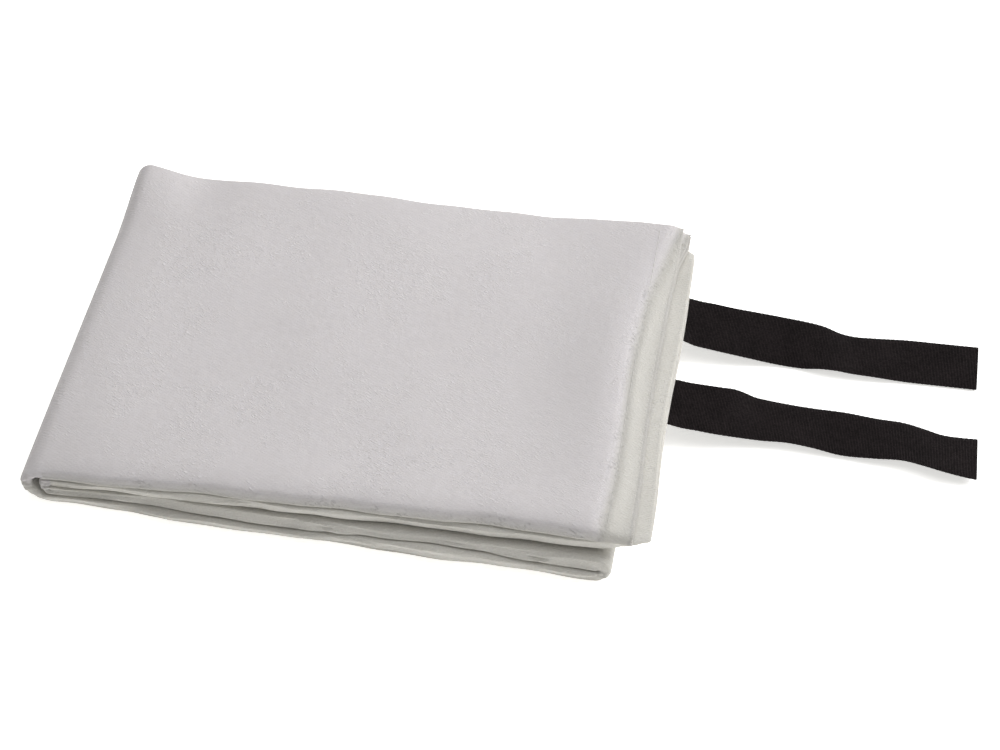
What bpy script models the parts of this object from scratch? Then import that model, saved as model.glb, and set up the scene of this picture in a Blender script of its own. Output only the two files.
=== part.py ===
"""Fire blanket: one glass-fibre sheet, rolled flat across its width and then folded in four
along its length, with two webbing pull tapes sewn to one hem. Metres, +Z up, +X towards the
tapes, the underside of the pack at Z = 0. The top panel opens like a book's cover on the outer
left fold, and each tape lifts from its root."""

import math

import bmesh
import bpy
from mathutils import Matrix, Vector

# The sheet and how it is folded. The left pitches hold at the left folds and the right ones at
# the top edge, so the pack is a straight wedge that rises towards the tapes.
PACK_DEPTH = 0.183
PACK_LENGTH = 0.256
CLOTH_THICKNESS = 0.00045
LAYERS = 6
LEFT_LAYER_PITCH = 0.000865
RIGHT_LAYER_PITCH = 0.00107
LEFT_PANEL_PITCH = 0.005075
RIGHT_PANEL_PITCH = 0.0069
LOWER_TURN_X = 0.1146
TAPE_EDGE_OVERHANG = 0.0065
SEAM_GAP = 0.0003

# Hems
HEM_DEPTH = 0.012
HEM_CLOTH_THICKNESS = 0.0007

# Sewing thread
THREAD_DIAMETER = 0.0004
THREAD_SIDES = 6
THREAD_CLEARANCE = 0.00015
ROW_INSET = 0.0015
BOX_INSET = 0.0028
BOX_DEPTH = 0.006
BOX_WIDTH = 0.019

# Pull tapes
TAPE_WIDTH = 0.025
TAPE_THICKNESS = 0.001
TAPE_FREE_REACH = 0.130
TAPE_DROP_REACH = 0.048
TAPE_WAVE_HEIGHT = 0.0011
TAPE_WAVES = 2.5
TAPE_STATIONS = 26
TAPE_FLOOR_CLEARANCE = 0.0002
TAPE_ROOT_CLEARANCE = 0.0009
FAR_TAPE_Y = 0.0485
NEAR_TAPE_Y = -0.002

# Smoothness of the turns
SIDE_FOLD_STEPS = 6
END_TURN_STEPS = 8
SHARP_ANGLE = math.radians(40)
JOINT_MARK_SIZE = 0.01

# Levels and positions worked out from the dimensions above
PANELS = 4
LEFT_HEIGHT = (PANELS - 1) * LEFT_PANEL_PITCH + (LAYERS - 1) * LEFT_LAYER_PITCH + CLOTH_THICKNESS
TURN_Z = LEFT_HEIGHT / 2
TURN_X = -PACK_LENGTH / 2 + TURN_Z
TOP_EDGE_X = PACK_LENGTH / 2
TAPE_EDGE_X = TOP_EDGE_X + TAPE_EDGE_OVERHANG

# The spine of the left fold rolls open on two lines, so that the cloth around it lies flat
SPINE_INSET = math.pi * TURN_Z / 4
SPINE_RISE = TURN_Z - SPINE_INSET

GLASS_CLOTH = ("glass_cloth", (0.62, 0.61, 0.60), 0.75)
GLASS_CLOTH_HEM = ("glass_cloth_hem", (0.66, 0.65, 0.60), 0.8)
BLACK_WEBBING = ("black_webbing", (0.014, 0.011, 0.012), 0.85)
SEWING_THREAD = ("sewing_thread", (0.72, 0.71, 0.66), 0.6)


def clear_scene():
    for found in list(bpy.data.objects):
        bpy.data.objects.remove(found, do_unlink=True)


def material(look):
    name, colour, roughness = look
    made = bpy.data.materials.new(name)
    made.use_nodes = True
    shader = made.node_tree.nodes["Principled BSDF"]
    shader.inputs["Base Color"].default_value = (*colour, 1.0)
    shader.inputs["Roughness"].default_value = roughness
    shader.inputs["Metallic"].default_value = 0.0
    return made


def add_joint(name, place, parent=None):
    """The empty of a body, on the line that the body turns about. place is in the world."""
    joint = bpy.data.objects.new(name, None)
    joint.empty_display_size = JOINT_MARK_SIZE
    bpy.context.scene.collection.objects.link(joint)
    joint.parent = parent
    joint.location = Vector(place) - world_place(parent)
    return joint


def world_place(joint):
    """Where a joint's empty is in the world. The empties are moved but never turned."""
    place = Vector((0, 0, 0))
    while joint is not None:
        place += joint.location
        joint = joint.parent
    return place


def add_solid(name, fill, look, body):
    """One closed solid, with its origin on its body's joint. fill adds its faces to a bmesh in
    world coordinates."""
    shape = bmesh.new()
    fill(shape)
    bmesh.ops.recalc_face_normals(shape, faces=shape.faces)
    bmesh.ops.transform(shape, matrix=Matrix.Translation(-world_place(body)), verts=shape.verts)
    mesh = bpy.data.meshes.new(name)
    shape.to_mesh(mesh)
    shape.free()
    mesh.shade_smooth()
    mesh.set_sharp_from_angle(angle=SHARP_ANGLE)
    mesh.materials.append(material(look))
    solid = bpy.data.objects.new(name, mesh)
    bpy.context.scene.collection.objects.link(solid)
    solid.parent = body
    return solid


def wedge(left, right, x):
    """A dimension of the folded pack at x, from its value at the left folds and at the top edge."""
    return left + (right - left) * (x - TURN_X) / (TOP_EDGE_X - TURN_X)


def layer_pitch(x):
    return wedge(LEFT_LAYER_PITCH, RIGHT_LAYER_PITCH, x)


def panel_pitch(x):
    return wedge(LEFT_PANEL_PITCH, RIGHT_PANEL_PITCH, x)


def panel_thickness(x):
    return (LAYERS - 1) * layer_pitch(x) + CLOTH_THICKNESS


def half_gap(x):
    """Half of the gap between two neighbouring panels, the inner radius of a fold that joins them."""
    return (panel_pitch(x) - panel_thickness(x)) / 2


def lower_fold_radius():
    """The outer radius of the right fold, which is also the height of its middle."""
    return (panel_pitch(LOWER_TURN_X) + panel_thickness(LOWER_TURN_X)) / 2


def arc_points(centre_y, centre_level, radius, side, start_sign):
    """A half circle from one layer to another, bulging towards side (-1 near, +1 far)."""
    points = []
    for step in range(SIDE_FOLD_STEPS + 1):
        angle = math.pi * (step / SIDE_FOLD_STEPS - 0.5) * -start_sign
        across = centre_y + side * radius * math.cos(angle)
        points.append((across, centre_level + radius * math.sin(angle)))
    return points


def rolled_centreline(thickness, pitch):
    """The (across, level) centreline of the flat roll at one layer pitch, from the sheet's outer
    side edge to its inner one. The levels run from 0 at the panel's inner face upwards to its
    outer face. The near folds nest about the roll's middle, and the far ones about its fourth
    layer."""
    middle = ((LAYERS - 1) * pitch + CLOTH_THICKNESS) / 2
    fourth = CLOTH_THICKNESS / 2 + 2 * pitch
    outer = CLOTH_THICKNESS / 2 + (LAYERS - 1) * pitch
    near_y = (LAYERS - 1) * pitch / 2 + thickness / 2 - PACK_DEPTH / 2
    far_y = PACK_DEPTH / 2 - 2 * pitch - thickness / 2
    points = [(far_y, outer)]
    points += arc_points(near_y, middle, 2.5 * pitch, -1, 1)
    points += arc_points(far_y, fourth, 2 * pitch, 1, -1)
    points += arc_points(near_y, middle, 1.5 * pitch, -1, 1)
    points += arc_points(far_y, fourth, pitch, 1, -1)
    points += arc_points(near_y, middle, 0.5 * pitch, -1, 1)
    points.append((far_y, fourth))
    return points


def ribbon_sides(centreline, thickness):
    """The two faces of a ribbon of this thickness about a centreline."""
    left, right = [], []
    last = len(centreline) - 1
    for index, point in enumerate(centreline):
        before = centreline[max(index - 1, 0)]
        after = centreline[min(index + 1, last)]
        along = Vector((after[0] - before[0], after[1] - before[1])).normalized()
        normal = Vector((-along.y, along.x)) * thickness / 2
        here = Vector(point)
        left.append(here + normal)
        right.append(here - normal)
    return left, right


def skin_rings(shape, rings):
    """Joins rings of [left points, then right points reversed] and closes both ends with the
    quads between the ribbon's two faces."""
    stacked = [[shape.verts.new(point) for point in ring] for ring in rings]
    count = len(stacked[0])
    for first, second in zip(stacked, stacked[1:]):
        for index in range(count):
            after = (index + 1) % count
            shape.faces.new((first[index], first[after], second[after], second[index]))
    for ring in (stacked[0], stacked[-1]):
        for index in range(count // 2 - 1):
            mirror = count - 1 - index
            shape.faces.new((ring[index], ring[index + 1], ring[mirror - 1], ring[mirror]))


def rolled_ring(thickness, x):
    left, right = ribbon_sides(rolled_centreline(thickness, layer_pitch(x)), thickness)
    return left + right[::-1]


def panel_maker(start_x, end_x, panels_below, outward, thickness):
    """A flat-rolled panel from start_x to end_x. outward is +1 where the roll's outer layer is
    on top, and -1 where it is underneath."""

    def make(shape):
        rings = []
        for x in (start_x, end_x):
            lower_face = panels_below * panel_pitch(x)
            inner_z = lower_face if outward > 0 else lower_face + panel_thickness(x)
            ring = rolled_ring(thickness, x)
            rings.append([(x, across, inner_z + outward * level) for across, level in ring])
        skin_rings(shape, rings)

    return make


def turn_maker(turn_x, turn_z, inner_radius, side):
    """The same flat roll turned through half a circle about a line along Y."""

    def make(shape):
        ring = rolled_ring(CLOTH_THICKNESS, turn_x)
        rings = []
        for step in range(END_TURN_STEPS + 1):
            angle = math.pi * step / END_TURN_STEPS
            out, up = side * math.sin(angle), -math.cos(angle)
            rings.append(
                [
                    (turn_x + out * (inner_radius + level), across, turn_z + up * (inner_radius + level))
                    for across, level in ring
                ]
            )
        skin_rings(shape, rings)

    return make


def strip_maker(path, centre_y, width, thickness):
    """A flat strip of webbing along an (x, z) path of its mid thickness."""

    def make(shape):
        left, right = ribbon_sides(path, thickness)
        outline = left + right[::-1]
        edges = (centre_y - width / 2, centre_y + width / 2)
        skin_rings(shape, [[(x, y, z) for x, z in outline] for y in edges])

    return make


def thread_row_maker(row_x, bottom_z):
    """One straight row of lockstitch across the pack, as a single fine rod."""

    def make(shape):
        reach = PACK_DEPTH / 2 - 3 * layer_pitch(row_x) - ROW_INSET
        radius = THREAD_DIAMETER / 2
        turned = Matrix.Rotation(math.pi / 2, 4, "X")
        bmesh.ops.create_cone(
            shape,
            cap_ends=True,
            segments=THREAD_SIDES,
            radius1=radius,
            radius2=radius,
            depth=2 * reach,
            matrix=Matrix.Translation((row_x, 0, bottom_z + radius)) @ turned,
        )

    return make


def thread_box_maker(inner_x, centre_y, bottom_at):
    """The closed box of stitches that holds one tape: a rectangular loop of square section.
    bottom_at gives its underside's height at x."""

    def make(shape):
        rings = []
        for inset in (0.0, THREAD_DIAMETER):
            near, far = centre_y - BOX_WIDTH / 2 + inset, centre_y + BOX_WIDTH / 2 - inset
            start, end = inner_x + inset, inner_x + BOX_DEPTH - inset
            corners = ((start, near), (end, near), (end, far), (start, far))
            for lift in (0.0, THREAD_DIAMETER):
                rings.append([shape.verts.new((x, y, bottom_at(x) + lift)) for x, y in corners])
        outer_low, outer_high, inner_low, inner_high = rings
        for one, other in (
            (outer_low, outer_high),
            (outer_high, inner_high),
            (inner_high, inner_low),
            (inner_low, outer_low),
        ):
            for index in range(4):
                after = (index + 1) % 4
                shape.faces.new((one[index], one[after], other[after], other[index]))

    return make


def smooth_step(share):
    bounded = min(max(share, 0.0), 1.0)
    return bounded * bounded * (3 - 2 * bounded)


def free_tape_path(root_x, root_z):
    """The mid line of a tape from the hem's edge down to the surface and along it, with the
    low waves that webbing keeps from being folded."""
    lowest = TAPE_THICKNESS / 2 + TAPE_FLOOR_CLEARANCE
    path = []
    for station in range(TAPE_STATIONS + 1):
        reach = TAPE_FREE_REACH * station / TAPE_STATIONS
        fallen = smooth_step(reach / TAPE_DROP_REACH)
        wave = 1 - math.cos(2 * math.pi * TAPE_WAVES * reach / TAPE_FREE_REACH)
        level = root_z + (lowest - root_z) * fallen
        path.append((root_x + reach, level + fallen * TAPE_WAVE_HEIGHT * wave))
    return path


def add_cloth(lower_pack, fold_spine, top_flap):
    """The sheet, as the stretches between its folds, from its bottom panel to its top one."""
    left_end = TURN_X + SEAM_GAP
    right_end = LOWER_TURN_X - SEAM_GAP
    top_hem_start = TOP_EDGE_X - HEM_DEPTH
    tape_hem_start = TAPE_EDGE_X - HEM_DEPTH
    for name, body, start, end, panels_below, outward in (
        ("bottom_panel", lower_pack, left_end, right_end, 0, -1),
        ("lower_middle_panel", lower_pack, left_end, right_end, 1, 1),
        ("upper_middle_panel", lower_pack, left_end, tape_hem_start - SEAM_GAP, 2, -1),
        ("top_panel", top_flap, left_end, top_hem_start - SEAM_GAP, 3, 1),
    ):
        maker = panel_maker(start, end, panels_below, outward, CLOTH_THICKNESS)
        add_solid(name, maker, GLASS_CLOTH, body)
    for name, body, start, end, panels_below, outward in (
        ("tape_edge_hem", lower_pack, tape_hem_start, TAPE_EDGE_X, 2, -1),
        ("top_edge_hem", top_flap, top_hem_start, TOP_EDGE_X, 3, 1),
    ):
        maker = panel_maker(start, end, panels_below, outward, HEM_CLOTH_THICKNESS)
        add_solid(name, maker, GLASS_CLOTH_HEM, body)
    inner_radius = half_gap(TURN_X)
    for name, body, turn_x, turn_z, radius, side in (
        ("right_fold", lower_pack, LOWER_TURN_X, lower_fold_radius(), half_gap(LOWER_TURN_X), 1),
        ("inner_left_fold", lower_pack, TURN_X, TURN_Z, inner_radius, -1),
        ("outer_left_fold", fold_spine, TURN_X, TURN_Z, inner_radius + LEFT_PANEL_PITCH, -1),
    ):
        add_solid(name, turn_maker(turn_x, turn_z, radius, side), GLASS_CLOTH, body)


def thread_level(panels_below, x):
    """The underside of the thread on the hem of the panel above this many others."""
    hem_swell = (HEM_CLOTH_THICKNESS - CLOTH_THICKNESS) / 2
    return panels_below * panel_pitch(x) + panel_thickness(x) + hem_swell + THREAD_CLEARANCE


def add_stitching(lower_pack, top_flap):
    """Two rows of stitches along each hem, and the box of stitches that holds each tape."""
    for hem, body, edge_x, panels_below in (
        ("top_hem", top_flap, TOP_EDGE_X, 3),
        ("tape_hem", lower_pack, TAPE_EDGE_X, 2),
    ):
        for row, row_x in (("outer", edge_x - ROW_INSET), ("inner", edge_x - HEM_DEPTH + ROW_INSET)):
            maker = thread_row_maker(row_x, thread_level(panels_below, row_x))
            add_solid(f"{hem}_{row}_stitch_row", maker, SEWING_THREAD, body)
    box_x = TAPE_EDGE_X - BOX_INSET - BOX_DEPTH
    for side, centre_y in (("far", FAR_TAPE_Y), ("near", NEAR_TAPE_Y)):
        maker = thread_box_maker(box_x, centre_y, lambda x: thread_level(2, x))
        add_solid(f"{side}_tape_box_stitch", maker, SEWING_THREAD, lower_pack)


def tape_level(x):
    """The mid height of a tape where it lies under the tape edge's hem."""
    hem_swell = (HEM_CLOTH_THICKNESS - CLOTH_THICKNESS) / 2
    return 2 * panel_pitch(x) - hem_swell - SEAM_GAP - TAPE_THICKNESS / 2


def add_tapes(lower_pack):
    """Each tape is one length of webbing: a tab sewn under the hem, and the free length that
    swings from the hem's edge."""
    tab_start = LOWER_TURN_X + lower_fold_radius() + 2 * SEAM_GAP
    root_x = TAPE_EDGE_X + TAPE_ROOT_CLEARANCE
    root_z = tape_level(root_x)
    tab_end = root_x - TAPE_THICKNESS / 2 - SEAM_GAP
    tab_path = [(tab_start, tape_level(tab_start)), (tab_end, tape_level(tab_end))]
    for side, centre_y in (("far", FAR_TAPE_Y), ("near", NEAR_TAPE_Y)):
        tab = strip_maker(tab_path, centre_y, TAPE_WIDTH, TAPE_THICKNESS)
        add_solid(f"{side}_tape_tab", tab, BLACK_WEBBING, lower_pack)
        root = add_joint(f"{side}_tape", (root_x, centre_y, root_z), lower_pack)
        length = strip_maker(free_tape_path(root_x, root_z), centre_y, TAPE_WIDTH, TAPE_THICKNESS)
        add_solid(f"{side}_pull_tape", length, BLACK_WEBBING, root)


def main():
    clear_scene()
    lower_pack = add_joint("lower_pack", (0, 0, 0))
    fold_spine = add_joint("fold_spine", (TURN_X - SPINE_INSET, 0, SPINE_RISE), lower_pack)
    top_flap = add_joint("top_flap", (TURN_X - SPINE_INSET, 0, LEFT_HEIGHT - SPINE_RISE), fold_spine)
    add_cloth(lower_pack, fold_spine, top_flap)
    add_stitching(lower_pack, top_flap)
    add_tapes(lower_pack)


main()
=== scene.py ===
"""The folded glass-fibre fire blanket as cloth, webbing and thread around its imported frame.
Metres, +Z up, +X towards the pull tapes, the underside of the pack at Z = 0."""

import math

import bpy
import numpy as np
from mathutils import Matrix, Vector


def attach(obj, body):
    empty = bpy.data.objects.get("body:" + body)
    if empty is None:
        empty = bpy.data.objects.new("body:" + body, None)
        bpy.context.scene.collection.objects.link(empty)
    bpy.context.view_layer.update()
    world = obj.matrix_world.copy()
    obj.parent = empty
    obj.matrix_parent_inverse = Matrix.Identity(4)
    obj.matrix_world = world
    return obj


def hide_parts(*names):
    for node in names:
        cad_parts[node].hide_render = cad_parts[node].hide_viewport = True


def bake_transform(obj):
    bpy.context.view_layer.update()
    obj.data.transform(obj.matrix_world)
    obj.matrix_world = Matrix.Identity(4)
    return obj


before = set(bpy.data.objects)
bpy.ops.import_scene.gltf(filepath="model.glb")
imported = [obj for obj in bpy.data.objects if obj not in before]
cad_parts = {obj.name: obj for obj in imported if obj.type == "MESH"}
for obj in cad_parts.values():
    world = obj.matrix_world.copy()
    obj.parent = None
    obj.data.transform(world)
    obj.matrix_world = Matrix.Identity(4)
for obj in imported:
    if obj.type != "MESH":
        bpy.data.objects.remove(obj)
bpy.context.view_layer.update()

# The folded sheet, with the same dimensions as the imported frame
PACK_DEPTH = 0.183
PACK_LENGTH = 0.256
CLOTH = 0.00045
LAYERS = 6
LEFT_LAYER_PITCH = 0.000865
RIGHT_LAYER_PITCH = 0.00107
LEFT_PANEL_PITCH = 0.005075
RIGHT_PANEL_PITCH = 0.0069
LOWER_TURN_X = 0.1146
LOWER_TURN_POWER = 0.62
TOP_EDGE_X = PACK_LENGTH / 2
TAPE_EDGE_X = TOP_EDGE_X + 0.0065
HEM_DEPTH = 0.012
HEM_CLOTH = 0.0006
HEM_LAP = 0.0015
HEM_ROUNDING, HEM_START, HEM_START_SLOPE = 0.55, CLOTH * 0.9, 0.07
TURN_Z = 0.010
TURN_X = -PACK_LENGTH / 2 + TURN_Z

# Webbing and thread
TAPE_WIDTH = 0.025
TAPE_THICKNESS = 0.001
RIB_PITCH = 0.00065
RIB_HEIGHT = 0.00006
EDGE_RIB, EDGE_WAVER = 0.00013, 0.00006
WARP_PITCH = 0.00042
TAPE_ROUND_FROM = 0.93
THREAD_RADIUS = 0.0002
THREAD_TWIST = 0.0007
STITCH_LENGTH = 0.0026
STITCH_GAP = 0.0007
STITCH_RISE = 0.0002
STITCH_SINK = 0.00027
ROW_INSET = 0.0015
BOX_START, BOX_END = 0.0088, 0.0028
BOX_HALF_WIDTH = 0.0095

# Fineness of the meshes
EVEN_SHARE = 0.35
FLAT_STEPS = 22
ARC_STEPS = 12
PANEL_STEPS = 72
FOLD_STEPS = 14
HEM_STEPS = 14
TAPE_SIDES = 12
TAPE_CURVE_STEPS = 400
STEPS_PER_RIB = 4
STITCH_POINTS = 7
THREAD_SIDES = 6
SHARP_ANGLE = math.radians(55)

# The camera: where it stands, where it looks and its lens
CAMERA_PLACE = (0.17101, -0.64373, 0.74667)
CAMERA_AZIMUTH = math.radians(-9.852)
CAMERA_ELEVATION = math.radians(48.335)
CAMERA_LENS = 81.82
CAMERA_SENSOR = 36.0
CAMERA_CLIP = (0.01, 50.0)

# The stage: the floor's size and its gap under the pack, each softbox's name, place, size and
# power, all aimed at the origin, and the air
FLOOR_SIDE, FLOOR_GAP = 12.0, 0.0003
SOFTBOXES = (
    ("key_softbox", (1.6, 0.9, 1.5), 1.6, 52.0),
    ("overhead_softbox", (0.2, 0.5, 2.1), 2.2, 22.0),
)
AIR_COLOUR, AIR_STRENGTH = (1.0, 0.99, 0.955, 1.0), 0.28


def through(values, places, x):
    """A smooth curve through values at places, read at x."""
    values, places = np.asarray(values, float), np.asarray(places, float)
    slopes = np.gradient(values, places)
    x = np.clip(np.asarray(x, float), places[0], places[-1])
    low = np.clip(np.searchsorted(places, x, side="right") - 1, 0, len(places) - 2)
    width = places[low + 1] - places[low]
    share = (x - places[low]) / width
    ends = values[low] * (1 - share) ** 2 * (1 + 2 * share)
    ends += values[low + 1] * share**2 * (3 - 2 * share)
    turns = slopes[low] * share * (1 - share) ** 2 - slopes[low + 1] * share**2 * (1 - share)
    return ends + width * turns


def step_between(low, high, x):
    """0 below low, 1 above high, and smooth between them."""
    share = np.clip((np.asarray(x, float) - low) / (high - low), 0, 1)
    return share * share * (3 - 2 * share)


def wedge(left, right, x):
    """A measure of the pack, which changes evenly from its left turns to its top edge."""
    return left + (right - left) * (x - TURN_X) / (TOP_EDGE_X - TURN_X)


def layer_pitch(x):
    return wedge(LEFT_LAYER_PITCH, RIGHT_LAYER_PITCH, x)


def panel_pitch(x):
    return wedge(LEFT_PANEL_PITCH, RIGHT_PANEL_PITCH, x)


def panel_thickness(x):
    return (LAYERS - 1) * layer_pitch(x) + CLOTH


def pack_height(x):
    return 3 * panel_pitch(x) + panel_thickness(x)


# How far each panel's near and far edges are set back from the pack's sides, in metres, by the
# panel from the bottom one up, at SETBACK_PLACES along X
SETBACK_PLACES = (-0.128, -0.09, -0.05, -0.01, 0.03, 0.066, 0.10, 0.118, 0.134)
NEAR_SETBACK = np.array((
    (-1.2, 0.2, -2.0, -1.3, -2.0, -2.2, -1.8, -1.6, -1.6),
    (0.2, 1.6, 0.9, 0.3, 0.1, 0.1, -0.4, -0.6, -0.6),
    (1.2, 1.4, 1.6, 2.2, 2.9, 3.6, 3.4, 4.5, 8.2),
    (1.4, 1.9, 2.6, 3.0, 3.6, 4.4, 4.2, 4.0, 3.6),
)) / 1000
FAR_SETBACK = np.array((
    (0.6, 0.2, 0.3, 0.5, 0.1, 0.3, 0.2, 0.3, 0.3),
    (1.2, 0.9, 0.7, 1.3, 0.9, 0.6, 1.1, 0.8, 0.8),
    (0.9, 0.4, 1.1, 0.8, 1.6, 1.0, 1.2, 4.5, 12.0),
    (0.2, 0.0, 0.0, 0.0, 0.0, 0.0, 0.0, 0.0, -0.4),
)) / 1000
SETBACK_REACH = 0.045
LONG_WAVER, SHORT_WAVER = 0.35e-3, 0.2e-3

# How far each panel's near turn leans out over its lower or upper part to meet its neighbour
TOP_LEAN, SECOND_LEAN, THIRD_LEAN, BOTTOM_LEAN = 1.6e-3, 1.3e-3, 0.9e-3, 1.3e-3
LEAN_REACH, LOW_PART, HIGH_PART = 0.007, (0.05, 0.6), (0.4, 0.95)
PRESSED_GAP = 0.00015

# How far the line between the two lower panels lies above its plain place along the near side
SEAM_SHIFT = np.array((0.0, 0.4, -0.2, -1.1, 2.0, 1.2, -0.7, -1.3, -1.4)) / 1000

# How much higher the pack lies along its near and far edges than the plain wedge
LEVEL_PLACES = (-0.128, -0.112, -0.098, -0.07, -0.025, 0.02, 0.064, 0.097, 0.128)
NEAR_LEVEL = np.array((-2.4, -2.0, -1.4, 0.0, 0.6, 0.9, 0.6, 0.2, 0.0)) / 1000
FAR_LEVEL = np.array((7.4, 4.2, 0.6, 1.2, 1.2, -0.8, -1.0, 0.4, 1.8)) / 1000

# The lines of the right end across the pack: where the top falls away, and the two hems' edges
LINE_PLACES = (-0.0915, -0.067, -0.024, 0.0, 0.02, 0.044, 0.068, 0.0915)
FALL_LINE = np.array((113.0, 114.7, 115.0, 113.8, 114.6, 116.2, 120.2, 125.2)) / 1000
TOP_EDGE_LINE = np.array((128.0, 127.9, 126.6, 126.4, 126.7, 127.0, 128.0, 127.8)) / 1000
TAPE_EDGE_LINE = np.array((135.0, 134.9, 133.4, 133.6, 134.4, 134.7, 134.3, 134.0)) / 1000
EDGE_REACH = 0.02
STAGGER = 0.5e-3

# The inner layers at the top's far right corner stand out past the edge and nearer than the side
DOG_EAR_OUT, DOG_EAR_NEARER = 3.2e-3, 3.1e-3
DOG_EAR_START, DOG_EAR_FULL, NEARER_START = 0.066, 0.084, 0.05

# The top's fall at the right end, and the valley pressed along its crease
FALL_LEAD, FALL_LENGTH = 0.0015, 0.0135
FALL_DEPTH, FALL_THINNING = 0.8e-3, 0.34
VALLEY_DEPTH, VALLEY_OFFSET, VALLEY_WIDTH = 1.15e-3, 0.0018, 0.0025
TAPE_EDGE_FALL = 0.5e-3
THIN_CORNER_REACH, THIN_CORNER_SHARE = 0.03, 0.62

# The inner left fold draws in at the near side
DRAWN_IN, DRAWN_IN_DEPTH = 3.2e-3, 0.013
DRAWN_IN_LEFT, DRAWN_IN_RIGHT = -0.123, -0.095

# The whole pack's lie
NEAR_LIE_REACH, FAR_LIE_REACH = 0.034, 0.042
RIPPLE_HEIGHT = 0.22e-3
CROWN_REACH, NEAR_CROWN, FAR_CROWN = 0.0105, 3.5e-3, 0.9e-3
CORNER_LIFT, CORNER_LEFT, CORNER_RIGHT = 2.6e-3, -0.128, -0.112

# The fine pleats along the near side, with their rate in radians per metre of height
PLEAT_START, PLEAT_END = 0.001, 0.005
PLEAT_DEPTH, PLEAT_CHANGE, PLEAT_RATE = 0.30e-3, 0.16e-3, 2900

# How much painted shade darkens the cloth, from 0, none, up
PAINTED_INSIDE_SHADE, PAINTED_ROLL_SHADE = 0.12, 0.45
PAINTED_CREASE_SHADE, PAINTED_PAST_CREASE_SHADE, PAINTED_EDGE_SHADE = 0.85, 0.55, 1.7


def share_on(panel, index):
    """1 on the panel with this index, and falling to 0 round the folds beside it."""
    return np.clip(1 - np.abs(panel - index), 0, 1)


def by_panel(table, panel, x):
    """A table of one row per panel, read at x and between panels where panel isn't whole."""
    total = np.zeros(np.broadcast(panel, x).shape)
    for index, row in enumerate(table):
        total += share_on(panel, index) * through(row, SETBACK_PLACES, x)
    return total


def ripple(x, y):
    """The low waves of cloth that has been folded and handled."""
    return (
        np.sin(x * 71 + y * 23 + 5.7) * np.cos(y * 38 - x * 17 + 3.0)
        + 0.6 * np.sin(x * 118 - y * 64 - 0.9) * np.sin(y * 87 + x * 31 + 0.8)
    )


def settle(panel, layer, x, y, z, tucked=0.0):
    """Moves points of the plain folded sheet to where the soft cloth lies. panel is 0 to 3 from
    the bottom up, and layer is 1 to 6 from the outside of the roll in. tucked is 1 for the two
    middle panels, whose left fold draws in at the near side."""
    on_third, on_top = share_on(panel, 2), np.clip(panel - 2, 0, 1)
    new_y = set_back(panel, x, y, z)
    new_z = press_together(panel, x, y, z)

    # The right end: the edges' own lines, the staggered layers and the fall of the top
    top_move = through(TOP_EDGE_LINE, LINE_PLACES, y) - TOP_EDGE_X
    tape_move = through(TAPE_EDGE_LINE, LINE_PLACES, y) - TAPE_EDGE_X
    at_top_edge = step_between(TOP_EDGE_X - EDGE_REACH, TOP_EDGE_X, x)
    at_tape_edge = step_between(TAPE_EDGE_X - EDGE_REACH, TAPE_EDGE_X, x)
    inner = np.clip(layer - 1, 0, 1)
    dog_ear = DOG_EAR_OUT * inner * step_between(DOG_EAR_START, DOG_EAR_FULL, y)
    stagger = STAGGER * np.sin(layer * 1.9 + y * 21)
    new_x = x + on_top * at_top_edge * (top_move + dog_ear + inner * stagger)
    nearer = step_between(NEARER_START, PACK_DEPTH / 2, y)
    new_y -= on_top * at_top_edge * inner * DOG_EAR_NEARER * nearer
    drawn_in = 1 - step_between(0, DRAWN_IN_DEPTH, y + PACK_DEPTH / 2)
    at_left = 1 - step_between(DRAWN_IN_LEFT, DRAWN_IN_RIGHT, x)
    new_x += tucked * drawn_in * DRAWN_IN * at_left
    new_x += on_third * at_tape_edge * (tape_move + stagger)
    new_z = fall_at_right(panel, x, y, new_z, on_third * at_tape_edge)

    new_z = lie_of_pack(x, y, new_z)

    # Fine pleats along the near side, where the layers' turns press on each other
    at_turn = (1 - step_between(PLEAT_START, PLEAT_END, y + PACK_DEPTH / 2)) * (1 - on_top)
    pleat = np.sin(new_z * PLEAT_RATE + 3.1 * np.sin(x * 41) + panel * 1.3)
    new_y += at_turn * pleat * (PLEAT_DEPTH + PLEAT_CHANGE * np.sin(x * 67 + panel * 2.0))
    return new_x, new_y, new_z


def set_back(panel, x, y, z):
    """The new Y, with each panel's edges set back and its near turn leaning on its neighbour."""
    near = 1 - step_between(0, SETBACK_REACH, y + PACK_DEPTH / 2)
    far = 1 - step_between(0, SETBACK_REACH, PACK_DEPTH / 2 - y)
    waver = LONG_WAVER * np.sin(x * 103 + panel * 2.3)
    waver += SHORT_WAVER * np.sin(x * 217 + panel * 4.1)
    new_y = y + near * (by_panel(NEAR_SETBACK, panel, x) + waver)
    new_y -= far * (by_panel(FAR_SETBACK, panel, x) + waver)
    level_share = (z - panel * panel_pitch(x)) / panel_thickness(x)
    low_part = 1 - step_between(*LOW_PART, level_share)
    high_part = step_between(*HIGH_PART, level_share)
    on_top = np.clip(panel - 2, 0, 1)
    low_lean = (TOP_LEAN * on_top + SECOND_LEAN * share_on(panel, 1)) * low_part
    high_lean = (THIRD_LEAN * share_on(panel, 2) + BOTTOM_LEAN * share_on(panel, 0)) * high_part
    at_turn = 1 - step_between(0, LEAN_REACH, y + PACK_DEPTH / 2)
    return new_y - at_turn * (low_lean + high_lean)


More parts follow.
